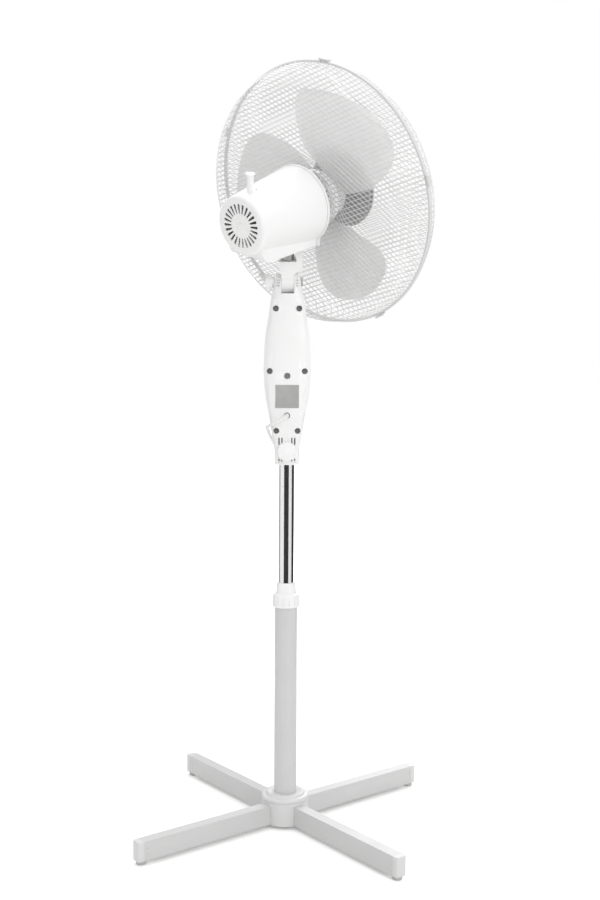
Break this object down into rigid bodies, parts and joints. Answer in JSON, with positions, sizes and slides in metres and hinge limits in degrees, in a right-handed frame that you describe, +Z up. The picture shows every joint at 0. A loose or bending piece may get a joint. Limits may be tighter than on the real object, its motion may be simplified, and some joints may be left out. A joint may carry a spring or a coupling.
{
  "type": "pedestal fan",
  "caption": "Pedestal fan with a cross base, telescopic chrome pole, push-button box, and a tilting, swinging head with a meshed guard around its blades.",
  "frame": {"origin": "on the floor, on the pole's axis, at the middle of the cross base", "axes": "+Z is up along the pole, the control box's button side faces -Y and its screwed rear cover faces +Y, +X is the tilt knob's side"},
  "size_m": [0.478, 0.478, 1.266],
  "materials": {
    "white_plastic": "smooth, slightly glossy moulding",
    "grey_paint": "satin powder coat",
    "white_wire": "powder coated mesh",
    "chrome": "polished",
    "steel": "plain zinc plated",
    "black_plastic": "matte",
    "black_metal": "black painted casting",
    "frosted_plastic": "frosted blade plastic",
    "silver_plastic": "satin silver paint",
    "natural_nylon": "unpainted nylon",
    "pale_rubber": "matte",
    "copper_wire": "enamelled wire, lacquered",
    "bronze": "sintered",
    "white_cable": "flexible sheath, satin"
  },
  "bodies": {
    "stand": {"cross_bar_lower": "grey_paint", "cross_bar_upper": "grey_paint", "leg_caps": "white_plastic", "feet": "pale_rubber", "hub_cover": "white_plastic", "lower_tube": "grey_paint", "base_screws": "steel", "height_collet": "natural_nylon", "mains_cord": "white_cable", "cord_hank": "white_cable", "plug_lead": "white_cable", "mains_plug": "white_plastic"},
    "lock_nut": {"lock_nut": "white_plastic"},
    "mast": {"chrome_tube": "chrome", "slide_bush": "black_plastic", "tube_socket": "white_plastic", "box_rear_cover": "white_plastic", "box_front_cover": "white_plastic", "cover_screws": "steel", "label_plate": "steel", "control_panel": "grey_paint", "switch_block": "black_plastic", "capacitor": "black_plastic", "cord_gland": "white_plastic", "pivot_nut": "steel"},
    "clamp_knob": {"clamp_knob": "white_plastic"},
    "tilt_knob": {"tilt_knob": "white_plastic"},
    "neck": {"neck_bracket": "white_plastic"},
    "drag_link": {"drag_link": "steel"},
    "head": {"motor_rear_shell": "white_plastic", "motor_collar": "white_plastic", "motor_rear_bell": "steel", "motor_front_bell": "black_metal", "stator_core": "steel", "stator_windings": "copper_wire", "shaft_bearings": "bronze", "gear_case": "steel", "swing_pin": "steel", "rear_guard_mesh": "white_wire", "rear_guard_ring": "white_plastic", "rear_guard_hub": "white_plastic", "guard_nut": "white_plastic", "front_guard_mesh": "white_wire", "front_guard_ring": "white_plastic", "badge": "silver_plastic"},
    "rotor": {"rotor": "steel", "fan_blade": "frosted_plastic", "spinner": "white_plastic"},
    "worm_wheel": {"worm_wheel": "natural_nylon"},
    "crank_gear": {"crank_gear": "natural_nylon"},
    "swing_knob": {"swing_knob": "white_plastic"},
    "speed_button_1": {"speed_button_1": "white_plastic"},
    "speed_button_2": {"speed_button_2": "white_plastic"},
    "speed_button_3": {"speed_button_3": "white_plastic"},
    "speed_button_4": {"speed_button_4": "white_plastic"},
    "guard_clip_1": {"guard_clip_1": "white_plastic"},
    "guard_clip_2": {"guard_clip_2": "white_plastic"},
    "guard_clip_3": {"guard_clip_3": "white_plastic"},
    "guard_clip_4": {"guard_clip_4": "white_plastic"},
    "guard_clip_5": {"guard_clip_5": "white_plastic"}
  },
  "joints": [
    {"name": "lock_nut_turn", "type": "hinge", "parent": "stand", "child": "lock_nut", "pos_m": [0, 0, 0.385], "axis": [0, 0, 1], "range_deg": [0, 180]},
    {"name": "height_slide", "type": "slide", "parent": "stand", "child": "mast", "axis": [0, 0, 1], "range_m": [-0.19, 0.1], "deforming": ["mains_cord"]},
    {"name": "clamp_knob_turn", "type": "hinge", "parent": "mast", "child": "clamp_knob", "pos_m": [0, 0.02, 0.64], "axis": [0, 1, 0], "range_deg": [0, 360]},
    {"name": "speed_button_1_press", "type": "slide", "parent": "mast", "child": "speed_button_1", "axis": [0, 1, 0], "range_m": [0, 0.004], "stiffness_N_per_m": 400, "springref_m": -0.004},
    {"name": "speed_button_2_press", "type": "slide", "parent": "mast", "child": "speed_button_2", "axis": [0, 1, 0], "range_m": [0, 0.004], "stiffness_N_per_m": 400, "springref_m": -0.004},
    {"name": "speed_button_3_press", "type": "slide", "parent": "mast", "child": "speed_button_3", "axis": [0, 1, 0], "range_m": [0, 0.004], "stiffness_N_per_m": 400, "springref_m": -0.004},
    {"name": "speed_button_4_press", "type": "slide", "parent": "mast", "child": "speed_button_4", "axis": [0, 1, 0], "range_m": [0, 0.004], "stiffness_N_per_m": 400, "springref_m": -0.004},
    {"name": "tilt_knob_turn", "type": "hinge", "parent": "mast", "child": "tilt_knob", "pos_m": [0.03, 0, 0.9176], "axis": [1, 0, 0], "range_deg": [0, 360]},
    {"name": "head_tilt", "type": "hinge", "parent": "mast", "child": "neck", "pos_m": [0, 0, 0.9176], "axis": [1, 0, 0], "range_deg": [-6.2, 23.8]},
    {"name": "head_swing", "type": "hinge", "parent": "neck", "child": "head", "pos_m": [0, 0.04035, 1.0091], "axis": [0, 0.4035, 0.915], "range_deg": [-5, 85]},
    {"name": "link_turn", "type": "hinge", "parent": "neck", "child": "drag_link", "pos_m": [-0.01706, 0.03766, 0.97859], "axis": [0, 0.4035, 0.915], "range_deg": [-6, 90]},
    {"name": "blade_spin", "type": "hinge", "parent": "head", "child": "rotor", "pos_m": [0, 0.05069, 1.03252], "axis": [-0.6428, -0.7009, 0.3091], "continuous": true},
    {"name": "worm_wheel_turn", "type": "hinge", "parent": "head", "child": "worm_wheel", "pos_m": [0.06123, 0.09923, 1.01111], "axis": [0, 0.4035, 0.915], "continuous": true},
    {"name": "crank_turn", "type": "hinge", "parent": "head", "child": "crank_gear", "pos_m": [0.03985, 0.078, 0.97675], "axis": [0, 0.4035, 0.915], "continuous": true},
    {"name": "swing_knob_press", "type": "slide", "parent": "head", "child": "swing_knob", "axis": [0, 0.4035, 0.915], "range_m": [-0.008, 0]},
    {"name": "guard_clip_1_open", "type": "hinge", "parent": "head", "child": "guard_clip_1", "pos_m": [-0.05367, 0.08046, 1.25852], "axis": [-0.766, 0.5881, -0.2594], "range_deg": [0, 80]},
    {"name": "guard_clip_2_open", "type": "hinge", "parent": "head", "child": "guard_clip_2", "pos_m": [-0.21308, 0.14183, 1.06622], "axis": [-0.2367, -0.2021, -0.9503], "range_deg": [0, 80]},
    {"name": "guard_clip_3_open", "type": "hinge", "parent": "head", "child": "guard_clip_3", "pos_m": [-0.15219, -0.00364, 0.86301], "axis": [0.6197, -0.713, -0.3279], "range_deg": [0, 80]},
    {"name": "guard_clip_4_open", "type": "hinge", "parent": "head", "child": "guard_clip_4", "pos_m": [0.04485, -0.15491, 0.92973], "axis": [0.6197, -0.2386, 0.7477], "range_deg": [0, 80]},
    {"name": "guard_clip_5_open", "type": "hinge", "parent": "head", "child": "guard_clip_5", "pos_m": [0.10573, -0.10294, 1.17417], "axis": [-0.2367, 0.5655, 0.79], "range_deg": [0, 80]}
  ],
  "couplings": [
    {"joint": "link_turn", "follows": "head_swing", "ratio": 1.05},
    {"joint": "worm_wheel_turn", "follows": "blade_spin", "ratio": 0.027778},
    {"joint": "crank_turn", "follows": "blade_spin", "ratio": -0.008384}
  ]
}
